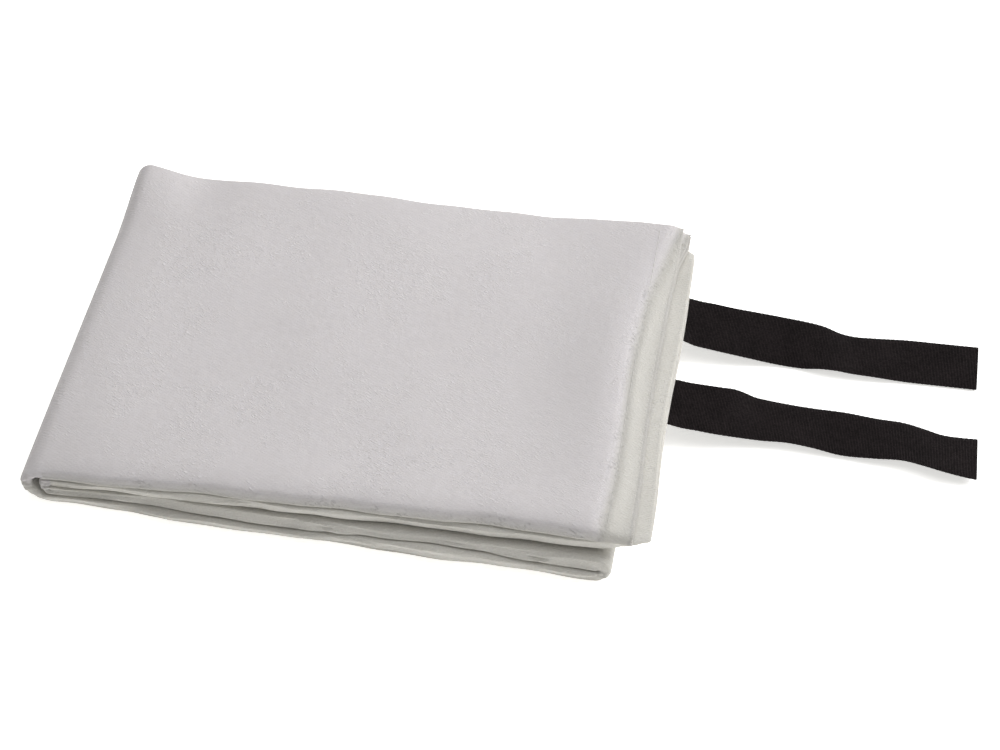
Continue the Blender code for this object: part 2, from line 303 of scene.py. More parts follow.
def press_together(panel, x, y, z):
    """The new Z, with the first and third panels swollen until they touch the ones that lie on
    them, and the line between the two lower panels wavering along the near side."""
    pitch = panel_pitch(x)
    base = panel * pitch
    full = (pitch - PRESSED_GAP) / panel_thickness(x) - 1
    new_z = base + (z - base) * (1 + (share_on(panel, 0) + share_on(panel, 2)) * full)
    near = 1 - step_between(0, SETBACK_REACH, y + PACK_DEPTH / 2)
    seam = near * through(SEAM_SHIFT, SETBACK_PLACES, x)
    return new_z + seam * share_on(new_z / pitch, 1)


def fall_at_right(panel, x, y, z, at_tape_edge):
    """The new Z at the right end, where the top falls away past its crease and the cloth under
    it thins to the hem with the tapes. at_tape_edge is how near the third panel's points are to
    that hem."""
    fall = fallen(x, y)
    on_top = np.clip(panel - 2, 0, 1)
    top_base = 3 * panel_pitch(x)
    pressed = 1 - FALL_THINNING * on_top * fall
    new_z = np.where(panel > 2.5, top_base + (z - top_base) * pressed, z)
    new_z -= on_top * fall * FALL_DEPTH
    past = x - through(FALL_LINE, LINE_PLACES, y) - VALLEY_OFFSET
    new_z -= on_top * np.exp(-((past / VALLEY_WIDTH) ** 2)) * VALLEY_DEPTH
    thin_corner = at_tape_edge * (1 - step_between(0.0, THIN_CORNER_REACH, y + PACK_DEPTH / 2))
    new_z += thin_corner * THIN_CORNER_SHARE * (top_base - new_z)
    return new_z - at_tape_edge * TAPE_EDGE_FALL * fall


def lie_of_pack(x, y, z):
    """The new Z with the whole pack's lie, which lifts or presses its upper layers most."""
    share = np.clip(z / pack_height(x), 0, 1)
    near_edge = 1 - step_between(0, NEAR_LIE_REACH, y + PACK_DEPTH / 2)
    far_edge = 1 - step_between(0, FAR_LIE_REACH, PACK_DEPTH / 2 - y)
    level = near_edge * through(NEAR_LEVEL, LEVEL_PLACES, x)
    level += far_edge * through(FAR_LEVEL, LEVEL_PLACES, x)
    level += RIPPLE_HEIGHT * ripple(x, y)
    crown = rounding(y + PACK_DEPTH / 2, CROWN_REACH) * NEAR_CROWN
    crown += rounding(PACK_DEPTH / 2 - y, CROWN_REACH) * FAR_CROWN
    new_z = z + (share**1.5 * level - share**4 * crown)
    corner = near_edge * (1 - step_between(CORNER_LEFT, CORNER_RIGHT, x))
    return new_z + (1 - share) * corner * CORNER_LIFT


def rounding(inward, reach):
    """1 at an edge and 0 at reach inward from it, falling ever more steeply to the edge."""
    share = np.clip(1 - inward / reach, 0, 1)
    return 1 - np.sqrt(1 - 0.94 * share**2)


def fallen(x, y):
    """0 left of the crease across the right end of the top, and 1 where the fall is complete."""
    return step_between(0, FALL_LENGTH, x - through(FALL_LINE, LINE_PLACES, y) + FALL_LEAD)


def flat_shares(count):
    """Steps along a flat stretch, closer together at its two ends."""
    even = np.linspace(0, 1, count + 1)
    return EVEN_SHARE * even + (1 - EVEN_SHARE) * (1 - np.cos(math.pi * even)) / 2


def roll_centreline(pitch, panel):
    """The flat roll's centreline from its outer side edge in: (across, level, layer, run), where
    run is the distance along the sheet's width. The top panel's turns are round, and the turns
    of the panels pressed under it are squarer."""
    power = LOWER_TURN_POWER + (1 - LOWER_TURN_POWER) * min(max(panel - 2, 0), 1)
    middle = CLOTH / 2 + 2.5 * pitch
    fourth = CLOTH / 2 + 2 * pitch
    near_y = 2.5 * pitch + CLOTH / 2 - PACK_DEPTH / 2
    far_y = PACK_DEPTH / 2 - 2 * pitch - CLOTH / 2
    across, level, layer = [far_y], [CLOTH / 2 + 5 * pitch], [1.0]
    turns = (
        (-1, middle, 2.5, 1, 6),
        (1, fourth, 2.0, 6, 2),
        (-1, middle, 1.5, 2, 5),
        (1, fourth, 1.0, 5, 3),
        (-1, middle, 0.5, 3, 4),
    )
    for side, centre, radius, from_layer, to_layer in turns:
        end_y = near_y if side < 0 else far_y
        here, here_level = across[-1], level[-1]
        for share in flat_shares(FLAT_STEPS)[1:-1]:
            across.append(here + (end_y - here) * share)
            level.append(here_level)
            layer.append(float(from_layer))
        for step in range(ARC_STEPS + 1):
            angle = math.pi * (0.5 - step / ARC_STEPS) * -side
            out, up = math.cos(angle), math.sin(angle)
            out, up = abs(out) ** power, math.copysign(abs(up) ** power, up)
            across.append(end_y + side * radius * pitch * out)
            level.append(centre + radius * pitch * up)
            layer.append(from_layer + (to_layer - from_layer) * step / ARC_STEPS)
    here = across[-1]
    for share in flat_shares(FLAT_STEPS)[1:]:
        across.append(here + (far_y - here) * share)
        level.append(fourth)
        layer.append(4.0)
    across, level, layer = np.array(across), np.array(level), np.array(layer)
    run = np.concatenate([[0], np.cumsum(np.hypot(np.diff(across), np.diff(level)))])
    return across, level, layer, run


def roll_ring(x, cloth, panel):
    """One closed ring of the roll's section at x: arrays of across, level, layer and run."""
    across, level, layer, run = roll_centreline(layer_pitch(x), panel)
    along = np.stack([np.gradient(across), np.gradient(level)])
    along /= np.hypot(*along)
    side = np.stack([-along[1], along[0]]) * cloth / 2
    halves = ((across, side[0]), (level, side[1]), (layer, 0), (run, 0))
    return [np.concatenate([values + out, (values - out)[::-1]]) for values, out in halves]


def panel_station(panel, x, cloth, length_run):
    """A ring of one flat panel at x, settled. Even panels carry the roll's outside underneath."""
    across, level, layer, run = roll_ring(x, cloth, panel)
    base = panel * panel_pitch(x)
    outside_up = panel % 2 == 1
    z = base + level if outside_up else base + panel_thickness(x) - level
    whole = np.full(len(across), float(panel))
    whole_x = np.full(len(across), x)
    places = settle(whole, layer, whole_x, across, z, 1.0 if panel in (1, 2) else 0.0)
    # A little painted shade darkens the panels that lie under the top, and the top has its own
    # painted shade
    cream, painted_shade = np.ones(len(across)), np.full(len(across), PAINTED_INSIDE_SHADE)
    if panel == 3:
        # Past the crease the top's cream is painted warm light; its inner layers are cream
        cream = np.maximum(creaminess(whole_x, across), np.clip((layer - 1.8) / 3, 0, 1))
        painted_shade = painted_shade_on_top(whole_x, across)
    return np.stack(places, axis=1), weave_places(run, length_run, cream, painted_shade)


def fold_station(turn_x, turn_z, inner_radius, side, share, panels, length_run):
    """A ring of a fold at a share of its half turn from its lower panel to its upper one. The
    roll's outside is outermost in a fold that starts from an even panel."""
    mid_panel = panels[0] + (panels[1] - panels[0]) * share
    across, level, layer, run = roll_ring(turn_x, CLOTH, mid_panel)
    angle = math.pi * share
    outward = level if panels[0] % 2 == 0 else panel_thickness(turn_x) - level
    x = turn_x + side * math.sin(angle) * (inner_radius + outward)
    z = turn_z - math.cos(angle) * (inner_radius + outward)
    panel = np.full(len(across), mid_panel)
    tucked = 1.0 if panels == (1, 2) else 0.0
    places = settle(panel, layer, x, across, z, tucked)
    cream = np.clip(2 - panel, 0, 1)
    # The folds' lower parts get a little painted shade, and the outer fold's upper part the
    # painted shade of the top's left roll
    painted_shade = np.maximum(PAINTED_INSIDE_SHADE * cream, PAINTED_ROLL_SHADE * np.clip(panel - 2, 0, 1))
    return np.stack(places, axis=1), weave_places(run, length_run, cream, painted_shade)


def weave_places(run, length_run, cream, painted_shade):
    """Where each point is on the unrolled sheet, across and along it, how creamy it is and how
    much painted shade darkens it."""
    return np.stack([run, np.full(len(run), length_run), cream, painted_shade], axis=1)


def creaminess(x, y):
    """The top is white, and past its crease it turns cream: painted warm light on the part that
    falls away toward the light.
    """
    return step_between(-0.001, 0.0035, x - through(FALL_LINE, LINE_PLACES, y))


def painted_shade_on_top(x, y):
    """The painted shade on the top: most along its edge and in its crease, and also beside and
    past the crease and over its left roll, where the top turns from the light."""
    past = x - through(FALL_LINE, LINE_PLACES, y)
    in_crease = PAINTED_CREASE_SHADE * np.exp(-(((past - 0.003) / 0.0034) ** 2))
    beside = step_between(-0.062, -0.02, past) * (1 - step_between(-0.014, -0.004, past))
    beside *= np.exp(-(((y - 0.008) / 0.075) ** 2))
    at_roll = PAINTED_ROLL_SHADE * (1 - step_between(-0.118, -0.098, x))
    past_crease = PAINTED_PAST_CREASE_SHADE * step_between(0.001, 0.004, past)
    at_edge = PAINTED_EDGE_SHADE * step_between(TOP_EDGE_X - 0.0022, TOP_EDGE_X - 0.0008, x)
    return np.maximum.reduce((in_crease, beside, past_crease, at_roll, at_edge))


def make_mesh(name, points, faces, look, places):
    """An object in one material. places gives each point's place on its unrolled sheet, and may
    have the point's painted shade as a fourth column."""
    mesh = bpy.data.meshes.new(name)
    mesh.from_pydata([tuple(p) for p in points], [], faces)
    mesh.validate()
    places = np.asarray(places, np.float32)
    weave = mesh.attributes.new("sheet_place", "FLOAT_VECTOR", "POINT")
    weave.data.foreach_set("vector", places[:, :3].ravel())
    if places.shape[1] > 3:
        painted_shade = mesh.attributes.new("painted_shade", "FLOAT", "POINT")
        painted_shade.data.foreach_set("value", places[:, 3].copy())
    mesh.materials.append(look)
    mesh.shade_smooth()
    mesh.set_sharp_from_angle(angle=SHARP_ANGLE)
    piece = bpy.data.objects.new(name, mesh)
    bpy.context.scene.collection.objects.link(piece)
    return piece


def ring_faces(first, last, count):
    """The quads between neighbouring rings of count points, from the first ring to the last."""
    for low in range(first, last, count):
        for index in range(count):
            after = (index + 1) % count
            yield low + index, low + after, low + count + after, low + count + index


def closed_skin(name, points, places, count, look):
    """A closed solid through rings of count points. Each ring's second half runs back along its
    first, so quads between the two close the solid's ends."""
    points = np.asarray(points)
    last = len(points) - count
    faces = list(ring_faces(0, last, count))
    for start, turned in ((0, True), (last, False)):
        for index in range(count // 2 - 1):
            mirror = count - 1 - index
            quad = (start + index, start + index + 1, start + mirror - 1, start + mirror)
            faces.append(quad[::-1] if turned else quad)
    if signed_volume(points, faces) < 0:
        faces = [face[::-1] for face in faces]
    return make_mesh(name, points, faces, look, places)


def skin(name, stations, look):
    """A closed solid through stations, each a ring of (points, weave places)."""
    points = np.concatenate([ring for ring, _ in stations])
    places = np.concatenate([place for _, place in stations])
    return closed_skin(name, points, places, len(stations[0][0]), look)


def signed_volume(points, faces):
    """Six times the volume that the quads enclose, below 0 where they face inward."""
    quads = points[np.array(faces)]
    first = np.cross(quads[:, 1] - quads[:, 0], quads[:, 2] - quads[:, 0])
    second = np.cross(quads[:, 2] - quads[:, 0], quads[:, 3] - quads[:, 0])
    return float(np.einsum("ij,ij->", quads[:, 0], first + second))


# Materials ------------------------------------------------

# The satin: its yarns and ties, and in yarns how far its lines waver and wander
YARN = 0.0006
SATIN_REPEAT = 5
SATIN_STEP = 2
YARN_CROWN, FLOAT_LIFT, OUT_OF_TIE = 3.4, 0.7, (0.1, 1.2)
WAVER, WANDER = 0.9, 9.0

# Where the satin's slanting lines are broken and in patches, how strongly they show, and how far
# the painted shade hides them
BREAKS, PATCHES = (0.48, 0.64), (0.44, 0.58)
LEAST_SHOWN, CREAMY_SHOWN, HIDDEN_UNDER_PAINTED_SHADE = 0.12, 0.6, 0.75

# How much each thing changes the cloth's colour: the weave's height paints shade into its pits
# and the ridges get a painted highlight, and the last two set how strongly and how unevenly the
# painted shade darkens it
FLOAT_SHADE, CLOUD_SHADE, PATCH_SHADE, RIDGE_PAINTED_HIGHLIGHT = 0.10, 0.34, 0.18, 0.56
WEAVE_PAINTED_SHADE, MIDDLE_SHADE = 0.22, 0.425
PAINTED_SHADE_STRENGTH, PAINTED_SHADE_UNEVENNESS = 0.26, 0.8

# The cloth's finish and relief
CLOTH_ROUGH, GLINTS, GLINT_SHINE, TIE_DULLNESS = 0.66, (0.86, 0.97), 0.26, 0.2
RIDGE_RELIEF, WEAVE_RELIEF = 1.6, 0.35

# The webbing's and the thread's shares of light, where their crests get a painted highlight and
# their grooves painted shade
RIB_LIGHT, END_CROWN, CHANCE_LIGHT, CLOUD_LIGHT = 0.7, 3.0, 0.45, 0.5
PLY_LIGHT = 0.6

# The crests and the pits of the satin, whose darker pits are painted shade, the darkest and the
# lightest of the rest, the webbing's and the thread's being their painted shade and highlight,
# and the grey of the painted shade
WHITE_GLASS = ((0.625, 0.600, 0.610, 1), (0.455, 0.434, 0.442, 1))
CREAM_GLASS = ((0.625, 0.610, 0.575, 1), (0.455, 0.442, 0.405, 1))
WEBBING_BLACK = ((0.0003, 0.0002, 0.0002, 1), (0.0215, 0.0160, 0.0170, 1))
THREAD_WHITE = ((0.50, 0.485, 0.465, 1), (0.63, 0.615, 0.585, 1))
PAPER_WHITE = ((0.93, 0.93, 0.93, 1), (0.95, 0.95, 0.95, 1))
PAINTED_SHADE_GREY = (0.31, 0.30, 0.30, 1)


class Nodes:
    """Builds one material's node tree. Inputs may be sockets or plain numbers."""

    def __init__(self, name):
        self.material = bpy.data.materials.new(name)
        self.material.use_nodes = True
        self.tree = self.material.node_tree
        self.shader = self.tree.nodes["Principled BSDF"]

    def add(self, kind, inputs=(), **settings):
        """A node with its settings made, and its inputs fed by their names or numbers."""
        node = self.tree.nodes.new(kind)
        for key, value in settings.items():
            setattr(node, key, value)
        for key, value in dict(inputs).items():
            self.feed(node.inputs[key], value)
        return node

    def feed(self, socket, value):
        if isinstance(value, bpy.types.NodeSocket):
            self.tree.links.new(value, socket)
        else:
            socket.default_value = value

    def math(self, operation, first, second=0.0, third=0.0, clamp=False):
        inputs = {0: first, 1: second, 2: third}
        return self.add("ShaderNodeMath", inputs, operation=operation, use_clamp=clamp).outputs[0]

    def times(self, first, second):
        return self.math("MULTIPLY", first, second)

    def plus(self, first, second):
        return self.math("ADD", first, second)

    def minus(self, first, second):
        return self.math("SUBTRACT", first, second)

    def noise(self, vector, scale, detail=2.0, roughness=0.5):
        inputs = {"Vector": vector, "Scale": scale, "Detail": detail, "Roughness": roughness}
        return self.add("ShaderNodeTexNoise", inputs).outputs["Fac"]

    def ramp(self, value, low, high, to_low=0.0, to_high=1.0):
        inputs = {"Value": value, "From Min": low, "From Max": high}
        inputs |= {"To Min": to_low, "To Max": to_high}
        node = self.add("ShaderNodeMapRange", inputs, interpolation_type="SMOOTHSTEP")
        return node.outputs["Result"]

    def mix(self, share, first, second):
        inputs = {"Factor": share, "A": first, "B": second}
        return self.add("ShaderNodeMix", inputs, data_type="RGBA").outputs["Result"]

    def swing(self, value, reach):
        """A value of 0 to 1 as a swing of half the reach either way."""
        return self.times(self.minus(value, 0.5), reach)

    def chance(self, first, second):
        """An even random value for each pair of whole numbers."""
        which = self.add("ShaderNodeCombineXYZ", {0: first, 1: second}).outputs[0]
        node = self.add("ShaderNodeTexWhiteNoise", {"Vector": which}, noise_dimensions="3D")
        return node.outputs["Value"]

    def sheet_place(self):
        """The place on the unrolled sheet, as a vector and as its three numbers."""
        place = self.add("ShaderNodeAttribute", attribute_name="sheet_place").outputs["Vector"]
        parts = self.add("ShaderNodeSeparateXYZ", {0: place})
        return place, parts.outputs[0], parts.outputs[1], parts.outputs[2]

    def object_place(self):
        return self.add("ShaderNodeTexCoord").outputs["Object"]

    def surface(self, **values):
        """Feeds the shader's own sockets, with _ for the spaces in their names."""
        for name, value in values.items():
            self.feed(self.shader.inputs[name.replace("_", " ")], value)

    def bump(self, height, distance, strength=1.0, under=None):
        inputs = {"Strength": strength, "Distance": distance, "Height": height}
        if under is not None:
            inputs["Normal"] = under
        return self.add("ShaderNodeBump", inputs).outputs["Normal"]


def satin_weave(nodes, across, along):
    """Floats side by side, each tied down once in five picks, with the ties in a slanting
    lattice. Gives the height, the rise out of the ties and a random value for each float."""
    yarn = nodes.math("FLOOR", across)
    in_yarn = nodes.minus(nodes.math("FRACT", across), 0.5)
    shifted = nodes.minus(along, nodes.times(yarn, SATIN_STEP))
    on_float = nodes.math("FLOORED_MODULO", shifted, SATIN_REPEAT)
    float_number = nodes.math("FLOOR", nodes.math("DIVIDE", shifted, SATIN_REPEAT))
    hump = nodes.minus(1.0, nodes.times(nodes.times(in_yarn, in_yarn), YARN_CROWN))
    from_tie = nodes.math("MINIMUM", on_float, nodes.minus(SATIN_REPEAT, on_float))
    rise = nodes.ramp(from_tie, *OUT_OF_TIE)
    lift = nodes.math("MULTIPLY_ADD", rise, FLOAT_LIFT, 1 - FLOAT_LIFT)
    return nodes.times(hump, lift), rise, nodes.chance(yarn, float_number)


def stretched(nodes, across, along):
    """The weave's place turned to its slanting lines and drawn out along them."""
    onward = nodes.math("MULTIPLY_ADD", along, SATIN_STEP, across)
    sideways = nodes.math("MULTIPLY_ADD", across, SATIN_STEP, nodes.times(along, -1.0))
    drawn_out = {0: nodes.times(onward, 0.13), 1: nodes.times(sideways, 0.45)}
    return nodes.add("ShaderNodeCombineXYZ", drawn_out).outputs[0]


def slanting_ridges(nodes, across, along, wander, broken):
    """The slanting lines that the ties make, wandering and broken."""
    slant = nodes.minus(nodes.times(across, SATIN_STEP), along)
    slant = nodes.math("MULTIPLY_ADD", wander, WANDER, slant)
    ridge = nodes.math("SINE", nodes.times(slant, 2 * math.pi / SATIN_REPEAT))
    ridge = nodes.math("MULTIPLY_ADD", ridge, 0.5, 0.5)
    return nodes.times(ridge, nodes.ramp(broken, *BREAKS))


def ridges_shown(nodes, cloud, patch, painted_shade, creamy):
    """How far the ridges show: in some patches, and pressed flat in others, and less under the
    painted shade."""
    shown = nodes.math("MULTIPLY_ADD", patch, 0.6, nodes.times(cloud, 0.4))
    shown = nodes.ramp(shown, *PATCHES, LEAST_SHOWN)
    clean = nodes.minus(1.0, nodes.times(painted_shade, HIDDEN_UNDER_PAINTED_SHADE))
    return nodes.math("MAXIMUM", nodes.times(shown, clean), nodes.times(creamy, CREAMY_SHOWN))


def satin_cloth(name, colour, pit_colour, cream, cream_pit):
    """Five-shaft satin of glass yarn, white or creamy, where the cream past the top's crease is
    painted warm light, clouded, with painted shade in its pits and where the mesh marks it, and a
    painted highlight on its ridges.
    """
    nodes = Nodes(name)
    place, sheet_across, sheet_along, creamy = nodes.sheet_place()
    # The painted shade that the mesh carries
    painted_shade = nodes.add("ShaderNodeAttribute", attribute_name="painted_shade").outputs["Fac"]
    waver = nodes.swing(nodes.noise(place, scale=160.0, detail=1.0), WAVER)
    across = nodes.plus(nodes.math("DIVIDE", sheet_across, YARN), waver)
    along = nodes.plus(nodes.math("DIVIDE", sheet_along, YARN), waver)
    height, rise, chance = satin_weave(nodes, across, along)

    object_place = nodes.object_place()
    cloud = nodes.noise(object_place, scale=22.0, detail=3.0, roughness=0.55)
    patch = nodes.noise(object_place, scale=75.0)
    drawn_out = stretched(nodes, sheet_across, sheet_along)
    broken = nodes.noise(drawn_out, scale=1500.0, roughness=0.6)
    wander = nodes.noise(place, scale=330.0, detail=1.0)
    ridge = slanting_ridges(nodes, across, along, wander, broken)
    ridge = nodes.times(ridge, ridges_shown(nodes, cloud, patch, painted_shade, creamy))

    # The colour, from the pits between the yarns to their crests, white or creamy, and darkened
    # by painted shade: the pits are painted shade and the ridges a painted highlight
    shade = nodes.swing(chance, FLOAT_SHADE)
    shade = nodes.plus(shade, nodes.swing(cloud, CLOUD_SHADE))
    shade = nodes.plus(shade, nodes.swing(patch, PATCH_SHADE))
    shade = nodes.plus(shade, nodes.times(ridge, RIDGE_PAINTED_HIGHLIGHT))
    weave = nodes.math("MULTIPLY_ADD", height, WEAVE_PAINTED_SHADE, MIDDLE_SHADE)
    light = nodes.math("ADD", weave, shade, clamp=True)
    base = nodes.mix(light, pit_colour, colour)
    base = nodes.mix(creamy, base, nodes.mix(light, cream_pit, cream))
    # Painted shade: a grey mixed in as far as the mesh's mask says, unevenly through the clouds
    uneven = nodes.plus(nodes.swing(cloud, PAINTED_SHADE_UNEVENNESS), 1.0)
    painted_shade_share = nodes.math("MULTIPLY", nodes.times(painted_shade, uneven), PAINTED_SHADE_STRENGTH, clamp=True)
    nodes.surface(Base_Color=nodes.mix(painted_shade_share, base, PAINTED_SHADE_GREY))

    # The finish, with a few glossier floats, and the relief
    glint = nodes.ramp(chance, *GLINTS)
    rough = nodes.minus(CLOTH_ROUGH, nodes.times(glint, GLINT_SHINE))
    tied = nodes.times(nodes.minus(1.0, rise), TIE_DULLNESS)
    soft = nodes.noise(object_place, scale=260.0, detail=4.0, roughness=0.62)
    soft = nodes.bump(soft, distance=0.00045, strength=0.55)
    relief = nodes.math("MULTIPLY_ADD", ridge, RIDGE_RELIEF, nodes.times(height, WEAVE_RELIEF))
    relief = nodes.bump(relief, distance=0.00011, under=soft)
    nodes.surface(
        Roughness=nodes.plus(rough, tied), Normal=relief, Specular_IOR_Level=0.35,
        Sheen_Weight=0.05, Sheen_Roughness=0.45,
        Subsurface_Weight=0.3, Subsurface_Radius=(1.0, 0.95, 0.85), Subsurface_Scale=0.0012,
    )
    return nodes.material


def ribbed_webbing(name):
    """Black woven tape: the ribs are in the mesh, and the warp ends that cross them are here,
    painted lighter on their crests and darker between them as painted highlight and shade.
    """
    nodes = Nodes(name)
    _, tape_across, tape_along, _ = nodes.sheet_place()
    rib = nodes.math("DIVIDE", tape_along, RIB_PITCH)
    rib_number = nodes.math("FLOOR", nodes.plus(rib, 0.5))
    on_rib = nodes.math("ABSOLUTE", nodes.minus(rib, rib_number))
    end = nodes.math("DIVIDE", tape_across, WARP_PITCH)
    in_end = nodes.minus(nodes.math("FRACT", end), 0.5)
    round_end = nodes.minus(1.0, nodes.times(nodes.times(in_end, in_end), END_CROWN))
    crest = nodes.times(nodes.ramp(on_rib, 0.1, 0.5, 1.0, 0.0), RIB_LIGHT)
    height = nodes.plus(crest, nodes.times(round_end, 1 - RIB_LIGHT))
    chance = nodes.chance(nodes.math("FLOOR", end), rib_number)
    cloud = nodes.noise(nodes.object_place(), scale=70.0, detail=3.0, roughness=0.6)
    light = nodes.minus(nodes.math("MULTIPLY_ADD", chance, CHANCE_LIGHT, height), CHANCE_LIGHT)
    light = nodes.math("ADD", light, nodes.swing(cloud, CLOUD_LIGHT), clamp=True)
    nodes.surface(
        Base_Color=nodes.mix(light, *WEBBING_BLACK),
        Roughness=nodes.ramp(light, 0.0, 1.0, 0.88, 0.66),
        Normal=nodes.bump(height, distance=0.00018),
        Sheen_Weight=0.005, Specular_IOR_Level=0.08,
    )
    return nodes.material


def twisted_thread(name):
    """Glass thread with its twist, which runs round and along each stitch, painted lighter on the
    plies' crests and darker in the grooves between them as painted highlight and shade.
    """
    nodes = Nodes(name)
    _, around, thread_along, _ = nodes.sheet_place()
    turn = nodes.plus(nodes.math("DIVIDE", thread_along, THREAD_TWIST), around)
    ply = nodes.math("SINE", nodes.times(turn, 4 * math.pi))
    ply = nodes.math("MULTIPLY_ADD", ply, 0.5, 0.5)
    cloud = nodes.times(nodes.noise(nodes.object_place(), scale=300.0), 1 - PLY_LIGHT)
    light = nodes.math("MULTIPLY_ADD", ply, PLY_LIGHT, cloud, clamp=True)
    nodes.surface(
        Base_Color=nodes.mix(light, *THREAD_WHITE),
        Roughness=nodes.ramp(ply, 0.0, 1.0, 0.75, 0.5),
        Normal=nodes.bump(ply, distance=0.00006),
    )
    return nodes.material


def studio_paper(name):
    """The floor: smooth pale paper with the faintest tooth."""
    nodes = Nodes(name)
    tooth = nodes.noise(nodes.object_place(), scale=900.0)
    nodes.surface(
        Base_Color=nodes.mix(tooth, *PAPER_WHITE), Roughness=0.9, Specular_IOR_Level=0.1,
        Emission_Color=(1.0, 0.995, 0.97, 1.0), Emission_Strength=0.62,
    )
    return nodes.material


# The cloth ------------------------------------------------


def panel_places(start_x, end_x, count):
    """The stations' places along a stretch of the sheet."""
    return start_x + (end_x - start_x) * flat_shares(count)


def fold_radius(x):
    """The inner radius of a fold between two neighbouring panels."""
    return (panel_pitch(x) - panel_thickness(x)) / 2


def lower_pack_stations():
    """The sheet from the foot of the outer left fold to the hem at the tapes' edge, and its
    length."""
    stations, length_run = [], 0.0
    lower_z = (panel_pitch(LOWER_TURN_X) + panel_thickness(LOWER_TURN_X)) / 2
    hem_start = TAPE_EDGE_X - HEM_DEPTH + HEM_LAP
    parts = (
        ("panel", 0, TURN_X, LOWER_TURN_X),
        ("fold", LOWER_TURN_X, lower_z, fold_radius(LOWER_TURN_X), 1, (0, 1)),
        ("panel", 1, LOWER_TURN_X, TURN_X),
        ("fold", TURN_X, TURN_Z, fold_radius(TURN_X), -1, (1, 2)),
        ("panel", 2, TURN_X, hem_start),
    )
    for kind, *values in parts:
        if kind == "panel":
            panel, start_x, end_x = values
            places = panel_places(start_x, end_x, PANEL_STEPS)
            for x in places[1:] if stations else places:
                run = length_run + abs(x - start_x)
                stations.append(panel_station(panel, x, CLOTH, run))
            length_run += abs(end_x - start_x)
        else:
            turn_x, turn_z, radius, side, panels = values
            half_turn = math.pi * (radius + panel_thickness(turn_x) / 2)
            for step in range(1, FOLD_STEPS + 1):
                share = step / FOLD_STEPS
                run = length_run + half_turn * share
                stations.append(fold_station(turn_x, turn_z, radius, side, share, panels, run))
            length_run += half_turn
    return stations, length_run


def top_stations():
    """The top stretch of the sheet, up to its hem, and its length."""
    end_x = TOP_EDGE_X - HEM_DEPTH + HEM_LAP
    places = panel_places(TURN_X, end_x, PANEL_STEPS)
    return [panel_station(3, x, CLOTH, x - TURN_X) for x in places], end_x - TURN_X


def outer_fold_stations(from_share, to_share):
    """A part of the sheet's turn at the left end, from the bottom panel up to the top one."""
    radius = fold_radius(TURN_X) + LEFT_PANEL_PITCH
    middle = radius + panel_thickness(TURN_X) / 2
    stations = []
    for step in range(FOLD_STEPS + 1):
        share = from_share + (to_share - from_share) * step / FOLD_STEPS
        run = math.pi * middle * share
        stations.append(fold_station(TURN_X, TURN_Z, radius, -1, share, (0, 3), run))
    return stations


def hem_stations(panel, edge_x):
    """The turned and sewn edge: thicker than the cloth, with a rounded fold at its edge and a
    short step where the turned ply ends."""
    start_x = edge_x - HEM_DEPTH
    stations = []
    for share in flat_shares(HEM_STEPS):
        x = start_x + (edge_x - start_x) * share
        to_edge, to_start = edge_x - x, x - start_x
        in_rounding = 1 - min(to_edge / (HEM_CLOTH / 2), 1)
        thickness = HEM_CLOTH * (1 - HEM_ROUNDING * in_rounding**2)
        thickness = min(thickness, HEM_START + to_start * HEM_START_SLOPE)
        stations.append(panel_station(panel, x, thickness, x - start_x))
    return stations


# Threads and tapes ----------------------------------------


def hem_surface(panel, x, y, upper):
    """Points on the upper or lower face of a hem's roll."""
    x, y = np.broadcast_arrays(np.asarray(x, float), np.asarray(y, float))
    on_outside = (panel % 2 == 1) == upper
    level = CLOTH / 2 - HEM_CLOTH / 2
    if on_outside:
        level = CLOTH / 2 + 5 * layer_pitch(x) + HEM_CLOTH / 2
    base = panel * panel_pitch(x)
    z = base + level if panel % 2 == 1 else base + panel_thickness(x) - level
    layer = np.full(x.shape, 1.0 if on_outside else float(LAYERS))
    places = settle(np.full(x.shape, float(panel)), layer, x, y, z)
    return np.stack(places, axis=-1)


def stitch_line(panel, start, end, upper):
    """The stitches between two (x, y) points of a hem: each a short run of thread that dips
    into the cloth at both ends."""
    start, end = np.array(start), np.array(end)
    length = float(np.hypot(*(end - start)))
    count = max(int(length / (STITCH_LENGTH + STITCH_GAP)), 1)
    pace = length / count
    along = np.linspace(-0.5, 0.5, STITCH_POINTS)
    lift = np.cos(along * math.pi) * STITCH_RISE - STITCH_SINK
    stitches = []
    for index in range(count):
        shares = ((index + 0.5) * pace + along * STITCH_LENGTH) / length
        path = start + (end - start) * shares[:, None]
        points = hem_surface(panel, path[:, 0], path[:, 1], upper)
        points[:, 2] += lift if upper else -lift
        stitches.append(points)
    return stitches


def thread_tubes(name, stitches, look):
    """All the stitches of one seam, each a closed tube along its path."""
    points, places, faces = [], [], []
    sides = THREAD_SIDES
    for path in stitches:
        run = 0.0
        first = len(points)
        for index, centre in enumerate(path):
            before = path[max(index - 1, 0)]
            ahead = path[min(index + 1, len(path) - 1)] - before
            ahead /= np.linalg.norm(ahead)
            across = np.cross(ahead, (0, 0, 1))
            across /= np.linalg.norm(across)
            up = np.cross(across, ahead)
            run += float(np.linalg.norm(centre - before))
            for side in range(sides):
                angle = 2 * math.pi * side / sides
                offset = across * math.cos(angle) + up * math.sin(angle)
                points.append(centre + THREAD_RADIUS * offset)
                places.append((side / sides, run, 0.0))
        last = first + (len(path) - 1) * sides
        faces += ring_faces(first, last, sides)
        faces.append(tuple(range(first, first + sides))[::-1])
        faces.append(tuple(range(last, last + sides)))
    return make_mesh(name, points, faces, look, places)


